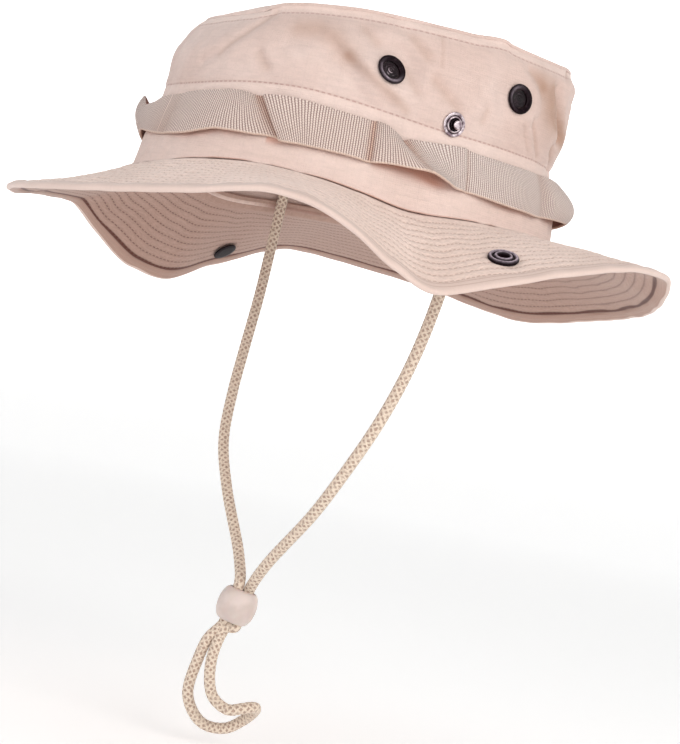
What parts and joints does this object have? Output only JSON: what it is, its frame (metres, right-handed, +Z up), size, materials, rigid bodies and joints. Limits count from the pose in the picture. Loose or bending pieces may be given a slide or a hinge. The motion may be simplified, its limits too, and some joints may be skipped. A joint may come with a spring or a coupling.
{
  "type": "bush hat",
  "caption": "Soft cloth bush hat with a pinched crown, stitched drooping brim, webbing loop band, screened vents, side snaps and a chin cord with a sliding bead.",
  "frame": {"origin": "middle of the head opening, level with the seam that joins crown and brim, where the hat sits on a head", "axes": "+Z up through the crown, -Y out of the front of the hat, +X towards the wearer's left"},
  "size_m": [0.2781, 0.3123, 0.3372],
  "materials": {
    "ripstop_cloth": "matt woven ripstop cotton, peach beige",
    "brim_cloth": "matt woven cotton with concentric rows of stitching",
    "webbing": "ribbed webbing, taupe",
    "eyelet_black": "satin black enamel",
    "vent_screen": "dark pressed rings",
    "stud_nickel": "bright nickel with a dark dish",
    "socket_black": "glossy black enamel, worn bright at the rim",
    "braided_cord": "round braid, sand with brown flecks",
    "bead": "smooth satin, pale stone"
  },
  "bodies": {
    "root": {"crown_side": "ripstop_cloth", "crown_tip": "ripstop_cloth", "brim": "brim_cloth", "loop_band": "webbing", "vent_left_front": "eyelet_black", "vent_left_back": "eyelet_black", "vent_right_front": "eyelet_black", "vent_right_back": "eyelet_black", "vent_screen_left_front": "vent_screen", "vent_screen_left_back": "vent_screen", "vent_screen_right_front": "vent_screen", "vent_screen_right_back": "vent_screen", "snap_stud_left": "stud_nickel", "snap_stud_right": "stud_nickel", "snap_socket_left": "socket_black", "snap_socket_right": "socket_black", "chin_cord": "braided_cord", "cord_slider": "bead"}
  },
  "joints": []
}
